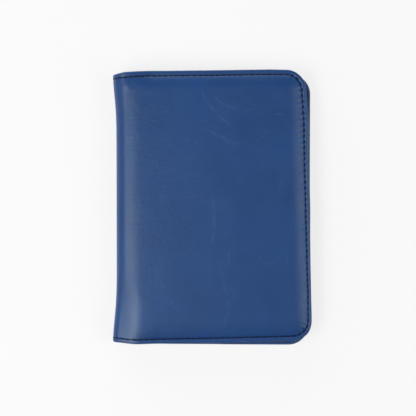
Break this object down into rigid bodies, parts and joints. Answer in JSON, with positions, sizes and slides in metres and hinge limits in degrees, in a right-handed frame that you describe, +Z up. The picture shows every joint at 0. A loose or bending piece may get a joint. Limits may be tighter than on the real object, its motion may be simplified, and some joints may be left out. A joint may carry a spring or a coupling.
{
  "type": "passport holder",
  "caption": "Bifold passport holder in padded blue imitation leather, stitched all round its turned edges, with a passport sleeve and card slots inside.",
  "frame": {"origin": "on the resting face of the back cover, 0 on the holder's mid-height line, at the row's x = 0 between spine and fore edge", "axes": "+Z up out of the resting face through the closed holder, +X from the spine to the fore edge, +Y from foot to head"},
  "size_m": [0.1055, 0.1463, 0.0154],
  "materials": {
    "cover_leather": "smooth satin imitation leather with faint pull-up marks, mid blue",
    "pocket_leather": "thin satin imitation leather, blue",
    "lining_cloth": "fine navy twill",
    "pocket_cloth": "thin navy pocket cloth",
    "sewing_thread": "bonded polyester thread, dark navy",
    "foam": "thin off-white padding foam",
    "stiffener_board": "grey board",
    "interlining": "white non-woven interlining"
  },
  "bodies": {
    "back_cover": {"outer_cover_back": "cover_leather", "foam_pad_back": "foam", "stiffener_board_back": "stiffener_board", "lining_back": "lining_cloth", "passport_sleeve": "pocket_leather", "seam_needle_thread_back": "sewing_thread", "seam_bobbin_thread_back": "sewing_thread", "passport_sleeve_hem_thread": "sewing_thread"},
    "spine": {"outer_cover_spine": "cover_leather", "spine_interlining": "interlining", "lining_spine": "lining_cloth", "seam_needle_thread_spine": "sewing_thread", "seam_bobbin_thread_spine": "sewing_thread"},
    "front_cover": {"outer_cover_front": "cover_leather", "foam_pad_front": "foam", "stiffener_board_front": "stiffener_board", "lining_front": "lining_cloth", "card_panel": "pocket_leather", "card_slot_upper": "pocket_leather", "card_slot_middle": "pocket_leather", "card_slot_lower": "pocket_leather", "card_slot_backing_upper": "pocket_cloth", "card_slot_backing_middle": "pocket_cloth", "seam_needle_thread_front": "sewing_thread", "seam_bobbin_thread_front": "sewing_thread", "card_panel_thread": "sewing_thread"}
  },
  "joints": [
    {"name": "spine_fold", "type": "hinge", "parent": "back_cover", "child": "spine", "pos_m": [-0.04995, 0, 0.0026], "axis": [0, -1, 0], "range_deg": [0, 90]},
    {"name": "front_fold", "type": "hinge", "parent": "spine", "child": "front_cover", "pos_m": [-0.04992, 0, 0.01294], "axis": [0.0113, -0.9999, -0.0111], "range_deg": [0, 91.01]}
  ],
  "couplings": [
    {"joint": "front_fold", "follows": "spine_fold", "ratio": 1.0112}
  ]
}
